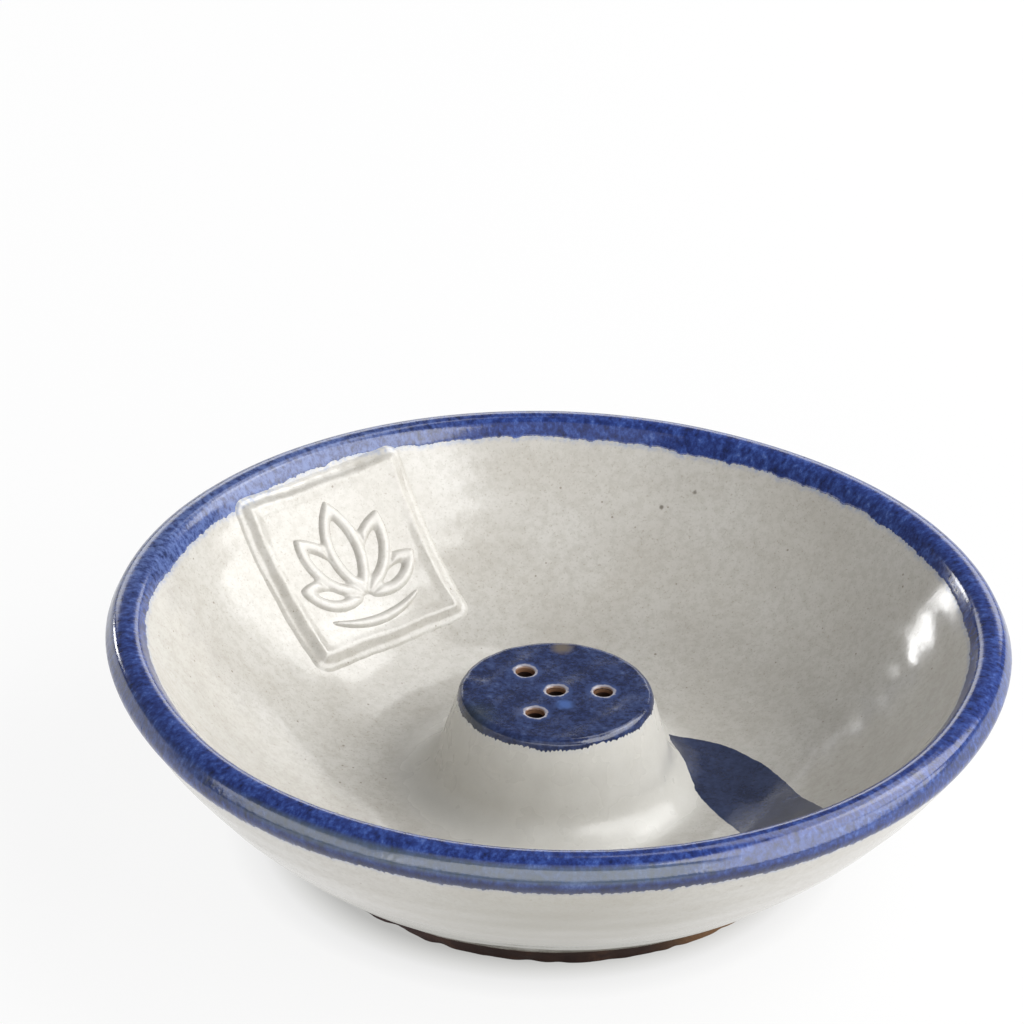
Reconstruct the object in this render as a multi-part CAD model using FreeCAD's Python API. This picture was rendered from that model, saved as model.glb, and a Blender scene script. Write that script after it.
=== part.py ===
import FreeCAD, Part
import os
from math import acos, cos, degrees, radians, sin

# Stoneware incense dish, in millimetres. The origin is the centre of the foot on the table,
# +Z is up, and the stick holder stands on the Z axis. The stamped pad is on the inside wall
# at the back left, and the brushed leaf is on the inside at the front right.

Vector = FreeCAD.Vector
up = Vector(0, 0, 1)

# Driving dimensions: the dish
glaze_thickness = 0.4
rim_crest_height = 40.4
rim_roll_centre_radius = 71.5
lip_outer_roll = 3.5
lip_inner_roll = 2.2
lip_flat = 0.4
inside_floor_height = 9.2
floor_curve_radius = 34.3
floor_curve_angle = 30.7
wall_curve_radius = 70.0
wall_top_slope = 56.0
outer_slope_at_rim = 58.0
outer_wall_radius = 105.4
body_base_height = 3.5

# The stick holder
cap_top_height = 26.1
cap_flat_radius = 15.1
cap_edge_roll = 1.2
flank_slope = 73.0
flank_foot_roll = 7.0
hole_radius = 1.5
hole_depth = 15.0
hole_ring_radius = 7.9
hole_ring_angles = (131.0, 2.0, 244.5)

# The foot
foot_outer_radius_low = 42.3
foot_outer_radius_high = 43.4
foot_inner_radius_low = 34.5
foot_inner_radius_high = 33.5
foot_edge_bevel = 0.6

# Where the glazes meet
glaze_line_height = 3.9
blue_inner_edge_height = 37.7
blue_outer_edge_height = 35.0
blue_cap_edge_height = 24.6

# The stamped pad and the lotus on it: each petal is (direction, length, half width)
pad_azimuth = 130.2
pad_wall_slope = 44.2
pad_base_side = 33.0
pad_top_side = 30.0
pad_base_height = 0.6
pad_height = 1.6
pad_corner_radius = 2.2
relief_height = 0.8
petal_line_width = 1.4
lotus_root_below_centre = 7.5
petal_root_gap = 1.2
petals = (
    (90.0, 19.0, 3.8),
    (58.0, 17.0, 3.4),
    (122.0, 17.0, 3.4),
    (24.0, 13.5, 2.9),
    (156.0, 13.5, 2.9),
)
water_line_half_width = 9.5
water_line_top = -9.0
water_line_sag = 2.4

# The brushed leaf, seen from above: its tip by the stick holder and its two edges
leaf_outer_edge = (
    (19.5, 13.8), (29.2, 10.8), (37.3, 0.3), (43.9, -18.2), (48.5, -35.0), (49.0, -48.5),
)
leaf_inner_edge = (
    (46.5, -51.0), (38.5, -37.5), (30.2, -16.7), (24.3, -5.3), (20.9, 6.5), (19.5, 13.8),
)


class SkinLine:
    """The dish's skin in half section, as tangent lines and arcs: from the middle of the cap
    over the floor, the inside wall and the lip, and down the outside to the body's base.
    The sizes are those of the glazed surface; depth moves the line that far into the clay,
    exactly parallel to the glaze, and a negative depth moves it out."""

    def __init__(self, depth):
        self.depth = depth
        self.heading = 0.0
        self.radius = 0.0
        self.height = cap_top_height - depth
        self.edges = []

    def place(self):
        return Vector(self.radius, 0, self.height)

    def line(self, length):
        start = self.place()
        self.radius += length * cos(radians(self.heading))
        self.height += length * sin(radians(self.heading))
        self.edges.append(Part.LineSegment(start, self.place()).toShape())

    def arc(self, roll, turn):
        """Turn by that many degrees, left when positive, with that radius at the glaze."""
        side = 1.0 if turn > 0 else -1.0
        true_roll = roll + side * self.depth
        towards_centre = radians(self.heading + 90.0 * side)
        centre = self.place() + Vector(cos(towards_centre), 0, sin(towards_centre)) * true_roll

        def on_arc(share):
            angle = radians(self.heading + turn * share - 90.0 * side)
            return centre + Vector(cos(angle), 0, sin(angle)) * true_roll

        start, middle, end = self.place(), on_arc(0.5), on_arc(1.0)
        self.edges.append(Part.Arc(start, middle, end).toShape())
        self.radius, self.height = end.x, end.z
        self.heading += turn


def flank_length():
    """The straight part of the boss's flank, between its rounded cap edge and rounded foot."""
    rolls = (cap_edge_roll + flank_foot_roll) * (1 - cos(radians(flank_slope)))
    return (cap_top_height - inside_floor_height - rolls) / sin(radians(flank_slope))


def boss_foot_radius():
    """Where the boss's rounded foot runs level into the floor."""
    slope = radians(flank_slope)
    return cap_flat_radius + (cap_edge_roll + flank_foot_roll) * sin(slope) + flank_length() * cos(slope)


def inner_wall_length():
    """The straight top of the inside wall, as long as the crest's height asks."""
    first, last = radians(floor_curve_angle), radians(wall_top_slope)
    rise = rim_crest_height - inside_floor_height
    rise -= floor_curve_radius * (1 - cos(first))
    rise -= wall_curve_radius * (cos(first) - cos(last))
    rise -= lip_inner_roll * (1 - cos(last))
    return rise / sin(last)


def floor_curve_start():
    """Where the level floor ends and the inside wall starts to rise."""
    first, last = radians(floor_curve_angle), radians(wall_top_slope)
    reach = floor_curve_radius * sin(first) + wall_curve_radius * (sin(last) - sin(first))
    reach += inner_wall_length() * cos(last) + lip_inner_roll * sin(last)
    return rim_roll_centre_radius - lip_flat - reach


def outer_wall_sweep(lip_end_height, roll):
    """Degrees of the outside wall's arc, from the lip down to the body's base."""
    centre_height = lip_end_height + roll * cos(radians(outer_slope_at_rim))
    base_slope = degrees(acos((centre_height - body_base_height) / roll))
    return outer_slope_at_rim - base_slope


def form(depth):
    """The dish and the stick holder as one solid with its skin that deep below the glaze."""
    skin = SkinLine(depth)
    skin.line(cap_flat_radius)
    skin.arc(cap_edge_roll, -flank_slope)
    skin.line(flank_length())
    skin.arc(flank_foot_roll, flank_slope)
    skin.line(floor_curve_start() - boss_foot_radius())
    skin.arc(floor_curve_radius, floor_curve_angle)
    skin.arc(wall_curve_radius, wall_top_slope - floor_curve_angle)
    skin.line(inner_wall_length())
    skin.arc(lip_inner_roll, -wall_top_slope)
    skin.line(lip_flat)
    skin.arc(lip_outer_roll, outer_slope_at_rim - 180.0)
    skin.arc(outer_wall_radius, -outer_wall_sweep(skin.height, outer_wall_radius - depth))
    base_centre = Vector(0, 0, body_base_height)
    base = Part.LineSegment(skin.place(), base_centre).toShape()
    axis = Part.LineSegment(base_centre, Vector(0, 0, cap_top_height - depth)).toShape()
    outline = Part.Face(Part.Wire(skin.edges + [base, axis]))
    return outline.revolve(Vector(0, 0, 0), up, 360)


def turned_outline(points):
    """A solid turned about Z from straight runs through (radius, height) points."""
    corners = [Vector(radius, 0, height) for radius, height in points]
    outline = Part.Face(Part.makePolygon(corners + corners[:1]))
    return outline.revolve(Vector(0, 0, 0), up, 360)


def cylinder_between(radius, low, high):
    return Part.makeCylinder(radius, high - low, Vector(0, 0, low))


def hole_places():
    """The stick holes' axes: one in the middle of the cap and three round it."""
    places = [Vector(0, 0, 0)]
    for angle in hole_ring_angles:
        places.append(Vector(cos(radians(angle)), sin(radians(angle)), 0) * hole_ring_radius)
    return places


def stick_holes():
    """Four blind holes that open at the cap."""
    floor = up * (cap_top_height - hole_depth)
    clear_above = 2.0
    length = hole_depth + clear_above
    drills = [Part.makeCylinder(hole_radius, length, place + floor) for place in hole_places()]
    return Part.makeCompound(drills)


def foot_ring():
    """The turned foot: a flared ring with bevelled edges where it stands."""
    return turned_outline([
        (foot_inner_radius_high, body_base_height),
        (foot_inner_radius_low, foot_edge_bevel),
        (foot_inner_radius_low + foot_edge_bevel, 0),
        (foot_outer_radius_low - foot_edge_bevel, 0),
        (foot_outer_radius_low, foot_edge_bevel),
        (foot_outer_radius_high, body_base_height),
    ])


def pad_frame():
    """The pad's own frame on the glazed wall: x across, y up the wall, z out of the clay."""
    first, slope = radians(floor_curve_angle), radians(pad_wall_slope)
    radius = floor_curve_start() + floor_curve_radius * sin(first)
    radius += wall_curve_radius * (sin(slope) - sin(first))
    height = inside_floor_height + floor_curve_radius * (1 - cos(first))
    height += wall_curve_radius * (cos(first) - cos(slope))
    around = FreeCAD.Rotation(up, pad_azimuth)
    up_wall = around.multVec(Vector(cos(slope), 0, sin(slope)))
    out_of_clay = around.multVec(Vector(-sin(slope), 0, cos(slope)))
    turn = FreeCAD.Rotation(up_wall.cross(out_of_clay), up_wall, out_of_clay, "ZYX")
    return FreeCAD.Placement(around.multVec(Vector(radius, 0, height)), turn)


def through_wall(face):
    """A prism on a face drawn in the pad's frame, from inside the clay to above the relief."""
    into_clay, out_of_clay = 3.0, 9.0
    face.translate(Vector(0, 0, -into_clay))
    prism = face.extrude(Vector(0, 0, into_clay + out_of_clay))
    prism.Placement = pad_frame().multiply(prism.Placement)
    return prism


def square_prism(side):
    """A square prism through the wall at the pad, with rounded corners."""
    core = side - 2 * pad_corner_radius
    plate = Part.makePlane(core, core, Vector(-core / 2, -core / 2, 0))
    return through_wall(plate.makeOffset2D(pad_corner_radius))


def petal_face(direction, length, half_width, inset):
    """A pointed petal from the lotus's root, drawn as two arcs, all its edges set in evenly."""
    root = Vector(0, -lotus_root_below_centre, 0)
    along = Vector(cos(radians(direction)), sin(radians(direction)), 0)
    aside = Vector(-along.y, along.x, 0)
    tip_inset = inset * (length - petal_root_gap) / (2 * half_width)
    base = root + along * (petal_root_gap + tip_inset)
    tip = root + along * (length - tip_inset)
    belly = aside * (half_width - inset)
    left = Part.Arc(base, (base + tip) * 0.5 + belly, tip).toShape()
    right = Part.Arc(tip, (base + tip) * 0.5 - belly, base).toShape()
    return Part.Face(Part.Wire([left, right]))


def water_line_face():
    """The curved line under the petals, a crescent between two arcs."""
    left = Vector(-water_line_half_width, water_line_top, 0)
    right = Vector(water_line_half_width, water_line_top, 0)
    low = Vector(0, water_line_top - water_line_sag, 0)
    high = low + Vector(0, petal_line_width, 0)
    under = Part.Arc(left, low, right).toShape()
    over = Part.Arc(right, high, left).toShape()
    return Part.Face(Part.Wire([under, over]))


def lotus_lines():
    """The lotus's outlines as prisms: front petals hide the ones behind them."""
    lines = [through_wall(water_line_face())]
    in_front = []
    for direction, length, half_width in petals:
        whole = through_wall(petal_face(direction, length, half_width, 0))
        hollow = through_wall(petal_face(direction, length, half_width, petal_line_width))
        ring = whole.cut(hollow)
        if in_front:
            ring = ring.cut(Part.makeCompound(in_front))
        lines.append(ring)
        in_front.append(whole)
    return lines


def leaf_prism():
    """An upright prism on the leaf's outline."""
    def edge(points):
        curve = Part.BSplineCurve()
        curve.interpolate([Vector(x, y, 0) for x, y in points])
        return curve.toShape()

    outer_end = Vector(*leaf_outer_edge[-1], 0)
    inner_start = Vector(*leaf_inner_edge[0], 0)
    end = Part.LineSegment(outer_end, inner_start).toShape()
    outline = Part.Wire([edge(leaf_outer_edge), end, edge(leaf_inner_edge)])
    return Part.Face(outline).extrude(up * rim_crest_height)


# Clay
glazed_form = form(0)
clay_form = form(glaze_thickness)
clay_floor_height = inside_floor_height - glaze_thickness
holes = stick_holes()

boss_region_radius = (boss_foot_radius() + floor_curve_start()) / 2
boss_region = cylinder_between(boss_region_radius, clay_floor_height, cap_top_height)
stick_boss = clay_form.common(boss_region).cut(holes)
dish_body = clay_form.cut(boss_region)

pad_base_prism = square_prism(pad_base_side)
pad_flange = form(-pad_base_height).common(pad_base_prism)
pad_top = form(-pad_height).common(square_prism(pad_top_side))
relief_tile = pad_flange.fuse(pad_top).cut(clay_form).removeSplitter()

relief_skin = form(-pad_height - relief_height).cut(form(-pad_height))
lotus_relief = Part.makeCompound([relief_skin.common(line) for line in lotus_lines()])

# Glaze coats: the space between the clay and the glazed surface, shared out by height
coat = glazed_form.cut(clay_form).cut(pad_base_prism)
far_out = rim_roll_centre_radius * 2
rim_region = turned_outline([
    (boss_foot_radius(), blue_inner_edge_height),
    (rim_roll_centre_radius, blue_inner_edge_height),
    (rim_roll_centre_radius, blue_outer_edge_height),
    (far_out, blue_outer_edge_height),
    (far_out, rim_crest_height * 2),
    (boss_foot_radius(), rim_crest_height * 2),
])
cap_region = cylinder_between(boss_foot_radius(), blue_cap_edge_height, cap_top_height * 2)
bare_region = cylinder_between(far_out, 0, glaze_line_height)

blue_rim_glaze = coat.common(rim_region)
blue_cap_glaze = coat.common(cap_region).cut(holes)
white_coats = coat.cut(rim_region).cut(cap_region).cut(bare_region).Solids
white_glaze_outside = min(white_coats, key=lambda solid: solid.BoundBox.ZMin)
white_inside_whole = max(white_coats, key=lambda solid: solid.BoundBox.ZMin)
leaf = leaf_prism()
blue_leaf_glaze = white_inside_whole.common(leaf)
white_glaze_inside = white_inside_whole.cut(leaf)

nodes = {
    "dish_body": dish_body,
    "foot_ring": foot_ring(),
    "stick_boss": stick_boss,
    "relief_tile": relief_tile,
    "lotus_relief": lotus_relief,
    "white_glaze_inside": white_glaze_inside,
    "white_glaze_outside": white_glaze_outside,
    "blue_rim_glaze": blue_rim_glaze,
    "blue_cap_glaze": blue_cap_glaze,
    "blue_leaf_glaze": blue_leaf_glaze,
}

os.makedirs("parts", exist_ok=True)
for name, shape in nodes.items():
    shape.exportStep("parts/" + name + ".step")
    box = shape.BoundBox
    print(name, "solids", len(shape.Solids), "valid", shape.isValid(), "volume", round(shape.Volume, 1),
          "height", round(box.ZMin, 2), round(box.ZMax, 2), "reach", round(box.XMax, 2))
print("boss foot", round(boss_foot_radius(), 2), "floor curve", round(floor_curve_start(), 2))
print("holes", [(round(place.x, 3), round(place.y, 3)) for place in hole_places()])
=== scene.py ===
"""A glazed stoneware incense dish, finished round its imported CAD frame.

The dish is turned about Z. Its glazed skin is one line in half section, and every coat of
glaze, the stamped pad and the brushed leaf lie on that skin. Shapes are worked out in
millimetres and become metres when a mesh is made.
"""

from functools import cache
from math import acos, cos, pi, radians, sin, sqrt

import bmesh
import bpy
import numpy as np
from mathutils import Matrix, Vector
from mathutils.geometry import delaunay_2d_cdt


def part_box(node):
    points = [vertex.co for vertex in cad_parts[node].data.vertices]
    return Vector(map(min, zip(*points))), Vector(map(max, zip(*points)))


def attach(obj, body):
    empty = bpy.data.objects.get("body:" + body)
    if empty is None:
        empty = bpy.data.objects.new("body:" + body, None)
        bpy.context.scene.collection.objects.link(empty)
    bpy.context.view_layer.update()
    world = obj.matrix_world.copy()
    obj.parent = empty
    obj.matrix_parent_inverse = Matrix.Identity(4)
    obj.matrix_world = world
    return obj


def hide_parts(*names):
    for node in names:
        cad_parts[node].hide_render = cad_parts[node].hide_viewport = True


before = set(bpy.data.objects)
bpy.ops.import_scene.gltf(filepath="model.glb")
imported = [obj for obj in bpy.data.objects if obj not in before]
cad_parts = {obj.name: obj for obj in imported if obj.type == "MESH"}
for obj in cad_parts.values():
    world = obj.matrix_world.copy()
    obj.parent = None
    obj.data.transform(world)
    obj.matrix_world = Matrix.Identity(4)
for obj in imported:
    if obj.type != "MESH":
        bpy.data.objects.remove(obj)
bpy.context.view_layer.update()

mm = 0.001
low, high = 0, 1
X, Z = 0, 2


def from_cad(node, corner, axis):
    """One coordinate of a CAD node's box, in millimetres."""
    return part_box(node)[corner][axis] / mm


# Sizes read from the frame
crest_height = from_cad("blue_rim_glaze", high, Z)
cap_height = from_cad("blue_cap_glaze", high, Z)
cap_edge_height = from_cad("blue_cap_glaze", low, Z)
blue_inner_height = from_cad("white_glaze_inside", high, Z)
blue_outer_height = from_cad("white_glaze_outside", high, Z)
glaze_line_height = from_cad("white_glaze_outside", low, Z)
base_height = from_cad("foot_ring", high, Z)

# Sizes of the form
glaze = 0.4
floor_height = from_cad("white_glaze_inside", low, Z) + glaze
cap_flat_radius = 15.1
cap_edge_roll = 1.2
flank_slope = radians(73.0)
flank_foot_roll = 7.0
floor_roll = 34.3
floor_turn = radians(30.7)
wall_roll = 70.0
wall_slope = radians(56.0)
lip_inner_roll = 2.2
lip_flat = 0.4
lip_outer_roll = 3.5
lip_band_middle = 4.03
lip_band_reach = 1.6
lip_band_depth = 0.18
outer_slope = radians(58.0)
outer_roll = 105.4
lip_radius = from_cad("blue_rim_glaze", high, X) - lip_outer_roll
hole_radius = 1.5
hole_ring_radius = 7.9
hole_angles = (131.0, 2.0, 244.5)
boss_seat_radius = 26.5
foot_outer_low, foot_outer_high = 42.3, 43.4
foot_inner_low, foot_inner_high = 34.5, 33.5
foot_flat_inset = 1.4
foot_edge_width = 0.7
foot_edge_height = 0.8

# How the potter's hands and the kiln left it
spiral_height = 0.030
spiral_pitch = 6.1
wave_height = 0.011
round_out_to = 30.0
out_of_round_over = 42.0
rim_dents = ((60, 24, -0.75), (203, 17, -0.85), (6, 14, 0.25), (-23, 12, -0.3), (95, 14, -0.15))
rim_line_sags = ((72, 14, 0.45), (150, 16, 0.25), (163, 8, 0.3), (124, 10, -0.6), (180, 12, -0.6))
cap_line_sags = ((-140, 25, 0.3), (-60, 12, -0.2))
foot_line_rises = ((-138, 16, 2.2), (-118, 12, 1.0), (-42, 14, 1.2))
foot_chip = (-126, 4.0, 1.2)
foot_lump = (-86, 7.5, 0.30)
edge_steps = (0.0, 0.07, 0.18, 0.4, 0.75, 1.2)
bead_steps = (3.0, 2.2, 1.6, 1.2, 0.9, 0.65, 0.45, 0.3, 0.18, 0.09, 0.03, 0.0)
far_away = 9.0
far_from_foot = 99.0

# The stamped pad and the lotus on it
pad_azimuth = radians(130.2)
pad_slope = radians(44.2)
pad_half_width_low = 16.4
pad_half_width_high = 17.8
pad_half_height = 16.5
pad_corner = 2.2
pad_steps = (-1.4, -0.6, -0.25, 0.1, 0.5, 0.8, 2.3, 2.9, 4.0)
pad_rises = (-0.35, -0.12, 0.10, 0.42, 0.50, 0.55, 1.80, 1.72, 1.55)
relief_height = 0.8
petal_line = 1.9
lotus_root = -7.5
petal_root_gap = 1.2
petals = (
    (90.0, 19.0, 3.8),
    (58.0, 17.0, 3.4),
    (122.0, 17.0, 3.4),
    (24.0, 13.5, 2.9),
    (156.0, 13.5, 2.9),
)
water_half_width = 9.5
water_top = -9.0
water_sag = 2.4

# The brushed leaf, seen from above: from its tip by the stick holder to its end at the rim
leaf_outer_edge = (
    (19.5, 13.8), (25.0, 12.8), (29.2, 10.8), (33.3, 6.3),
    (37.3, 0.3), (43.9, -18.2), (48.5, -35.0), (49.0, -48.5),
)
leaf_inner_edge = (
    (19.5, 13.8), (20.3, 8.6), (21.9, 4.3), (23.5, -1.8),
    (24.3, -5.3), (30.2, -16.7), (38.5, -37.5), (46.5, -51.0),
)


class Skin:
    """The glazed skin in half section: tangent runs, each a line or an arc, from the middle
    of the cap over the floor, the inside wall and the lip, and down the outside."""

    def __init__(self, height):
        self.runs = [(0.0, 0.0, height, 0.0, 0.0)]
        self.end = (0.0, 0.0, height, 0.0)

    def run(self, length, turn=0.0):
        along, radius, height, heading = self.end
        bend = turn / length
        self.runs.append((along, radius, height, heading, bend))
        self.table = np.array(self.runs[1:]).T
        r, z, h = self.at(np.array([along + length]))
        self.end = (along + length, r[0], z[0], h[0])

    def arc(self, roll, turn):
        self.run(roll * abs(turn), turn)

    def at(self, along):
        """Radius, height and heading at those distances along the skin."""
        starts, radii, heights, headings, bends = self.table
        i = np.clip(np.searchsorted(starts, along, side="right") - 1, 0, len(starts) - 1)
        step = along - starts[i]
        first = headings[i]
        heading = first + bends[i] * step
        bent = bends[i] != 0
        bend = np.where(bent, bends[i], 1.0)
        across = np.where(bent, (np.sin(heading) - np.sin(first)) / bend, step * np.cos(first))
        rise = np.where(bent, (np.cos(first) - np.cos(heading)) / bend, step * np.sin(first))
        return radii[i] + across, heights[i] + rise, heading

    def where(self, value, kind, first, last):
        """The distance along the skin, between two others, where it has that radius or height."""
        along = np.linspace(first, last, 4000)
        found = self.at(along)[kind]
        order = np.argsort(found)
        return np.interp(value, found[order], along[order])

    def nearest(self, radius, height, along):
        """Where on the skin each point is nearest, and how far out it stands. along is a guess."""
        for _ in range(8):
            r, z, heading = self.at(along)
            along = along + (radius - r) * np.cos(heading) + (height - z) * np.sin(heading)
        r, z, heading = self.at(along)
        return along, (height - z) * np.cos(heading) - (radius - r) * np.sin(heading)


RADIUS, HEIGHT, HEADING = 0, 1, 2


def make_skin():
    rolls = cap_edge_roll + flank_foot_roll
    flank = (cap_height - floor_height - rolls * (1 - cos(flank_slope))) / sin(flank_slope)
    boss_foot = cap_flat_radius + rolls * sin(flank_slope) + flank * cos(flank_slope)
    rise = crest_height - floor_height - floor_roll * (1 - cos(floor_turn))
    rise -= wall_roll * (cos(floor_turn) - cos(wall_slope)) + lip_inner_roll * (1 - cos(wall_slope))
    wall = rise / sin(wall_slope)
    reach = floor_roll * sin(floor_turn) + wall_roll * (sin(wall_slope) - sin(floor_turn))
    reach += wall * cos(wall_slope) + lip_inner_roll * sin(wall_slope)
    floor_end = lip_radius - lip_flat - reach
    skin = Skin(cap_height)
    skin.run(cap_flat_radius)
    skin.arc(cap_edge_roll, -flank_slope)
    marks = {"cap_roll_end": skin.end[0]}
    skin.run(flank)
    skin.arc(flank_foot_roll, flank_slope)
    marks["boss_foot"] = skin.end[0]
    skin.run(floor_end - boss_foot)
    skin.arc(floor_roll, floor_turn)
    skin.arc(wall_roll, wall_slope - floor_turn)
    skin.run(wall)
    marks["lip_start"] = skin.end[0]
    skin.arc(lip_inner_roll, -wall_slope)
    skin.run(lip_flat)
    marks["crest"] = skin.end[0]
    skin.arc(lip_outer_roll, outer_slope - pi)
    marks["lip_end"] = skin.end[0]
    centre_height = skin.end[2] + outer_roll * cos(outer_slope)
    skin.arc(outer_roll, acos((centre_height - base_height) / outer_roll) - outer_slope)
    marks["base"] = skin.end[0]
    return skin, marks


skin, marks = make_skin()
cap_edge = skin.where(cap_edge_height, HEIGHT, cap_flat_radius, marks["boss_foot"])
inner_edge = skin.where(blue_inner_height, HEIGHT, marks["boss_foot"], marks["lip_start"])
outer_edge = skin.where(blue_outer_height, HEIGHT, marks["crest"] + 1, marks["base"])
foot_edge = skin.where(glaze_line_height, HEIGHT, marks["lip_end"], marks["base"])


def waves(count, seed):
    """Random long waves over the skin: (lobes round the axis, radians per millimetre, phase)."""
    random = np.random.default_rng(seed)
    lobes = random.integers(2, 26, count)
    along = random.choice((-1, 1), count) / random.uniform(9.0, 26.0, count)
    return list(zip(lobes, 2 * pi * along, random.uniform(0, 2 * pi, count)))


hand_waves = waves(14, 11)


def uneven(angle, along):
    """How far the coat stands off the true form: a spiral left by the fingers, soft waves,
    and a flat worn round the outside of the lip."""
    spiral = spiral_height * np.sin(2 * pi * along / spiral_pitch + angle + 0.7 * np.sin(2 * angle))
    soft = sum(
        wave_height * np.sin(lobes * angle + along * per_mm + phase)
        for lobes, per_mm, phase in hand_waves
    )
    at_lip = np.exp(-(((along - marks["crest"] - 2.0) / 7.0) ** 4))
    across_band = (along - marks["crest"] - lip_band_middle) / lip_band_reach
    band = -lip_band_depth * np.clip(1 - across_band ** 2, 0, 1) ** 2
    wear = 1 + 0.2 * np.sin(3 * angle + 1) * np.sin(7 * angle)
    return (spiral + soft) * (1 - 0.75 * at_lip) + band * wear


def bumps(angle, *places):
    """A sum of smooth bumps round the axis, each (azimuth and width in degrees, size)."""
    total = np.zeros_like(angle)
    for azimuth, width, size in places:
        away = np.mod(angle - radians(azimuth) + pi, 2 * pi) - pi
        total = total + size * np.exp(-((away / radians(width)) ** 2))
    return total


def out_of_round(angle, radius):
    """How far the wall stands outside its circle, growing from the floor to the rim."""
    share = np.clip((radius - round_out_to) / out_of_round_over, 0, 1) ** 1.5
    return share * bumps(angle, *rim_dents)


def on_skin(angle, along, out):
    """Points that far out of the skin, at those angles round the axis and distances along it."""
    radius, height, heading = skin.at(along)
    off = out + uneven(angle, along)
    radius = radius + out_of_round(angle, radius) - off * np.sin(heading)
    height = height + off * np.cos(heading)
    return np.stack([radius * np.cos(angle), radius * np.sin(angle), height], axis=-1)


def wander(angle, size, lobes, seed):
    """A closed wander round the axis, a sum of waves with those numbers of lobes."""
    random = np.random.default_rng(seed)
    total = np.zeros_like(angle)
    for count in lobes:
        total += random.normal() * np.cos(count * angle + random.uniform(0, 2 * pi))
    return size * total / sqrt(len(lobes))


def drips(angle, radius, spacing, width, length, seed):
    """Short runs below a glaze edge, unevenly spaced: how far each reaches beyond it."""
    random = np.random.default_rng(seed)
    count = int(2 * pi * radius / spacing)
    reach = np.zeros_like(angle)
    for k in range(count):
        centre = 2 * pi * (k + random.uniform(-0.4, 0.4)) / count
        away = (np.mod(angle - centre + pi, 2 * pi) - pi) * radius
        size = random.uniform(0.15, 1.0)
        spread = width * (0.6 + 0.6 * size)
        reach = np.maximum(reach, size * length * np.exp(-((away / spread) ** 2)))
    return reach


def rim_inner_line(angle):
    """Where the blue band ends inside the dish, with small runs of blue below it."""
    line = inner_edge - 0.05 - bumps(angle, *rim_line_sags) - wander(angle, 0.16, range(3, 60, 5), 3)
    line = line - drips(angle, 68.0, 5.0, 0.7, 0.40, 4) - drips(angle, 68.0, 0.95, 0.24, 0.20, 5)
    return line - drips(angle, 68.0, 0.55, 0.14, 0.16, 15)


def rim_outer_line(angle):
    """Where the blue band ends outside, finely ragged."""
    line = outer_edge - 0.1 + wander(angle, 0.22, range(4, 80, 7), 6)
    line = line + drips(angle, 74.0, 0.8, 0.2, 0.5, 7) + drips(angle, 74.0, 0.45, 0.12, 0.25, 16)
    return line + drips(angle, 74.0, 4.5, 0.35, 0.6, 8)


def cap_line(angle):
    """Where the blue of the cap ends on the flank, with runs of blue below it."""
    line = cap_edge - 0.1 + wander(angle, 0.16, range(2, 22, 3), 9) + bumps(angle, *cap_line_sags)
    return line + drips(angle, 16.5, 0.7, 0.16, 0.42, 10) + drips(angle, 16.5, 0.4, 0.1, 0.2, 17)


def foot_line(angle):
    """Where the white ends above the foot."""
    line = foot_edge - 0.4 - bumps(angle, *foot_line_rises) + wander(angle, 0.22, range(2, 40, 4), 12)
    return line + drips(angle, 45.0, 3.2, 0.8, 0.3, 13)


@cache
def round_axis(count):
    return np.arange(count) * 2 * pi / count


def blue_lines(angle):
    """The edges of the rim's and the cap's blue, at those angles."""
    return rim_inner_line(angle), cap_line(angle), rim_outer_line(angle)


@cache
def lines_round(count):
    """The edges of the blue, and of the white above the foot, all the way round."""
    angle = round_axis(count)
    return blue_lines(angle), foot_line(angle)


def blue_gap(along, lines):
    """Distance along the skin from the nearest blue, over white."""
    rim_inner, cap, rim_outer = lines
    inside = np.minimum(rim_inner - along, along - cap)
    return np.where(along < marks["crest"], inside, along - rim_outer)


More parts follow.
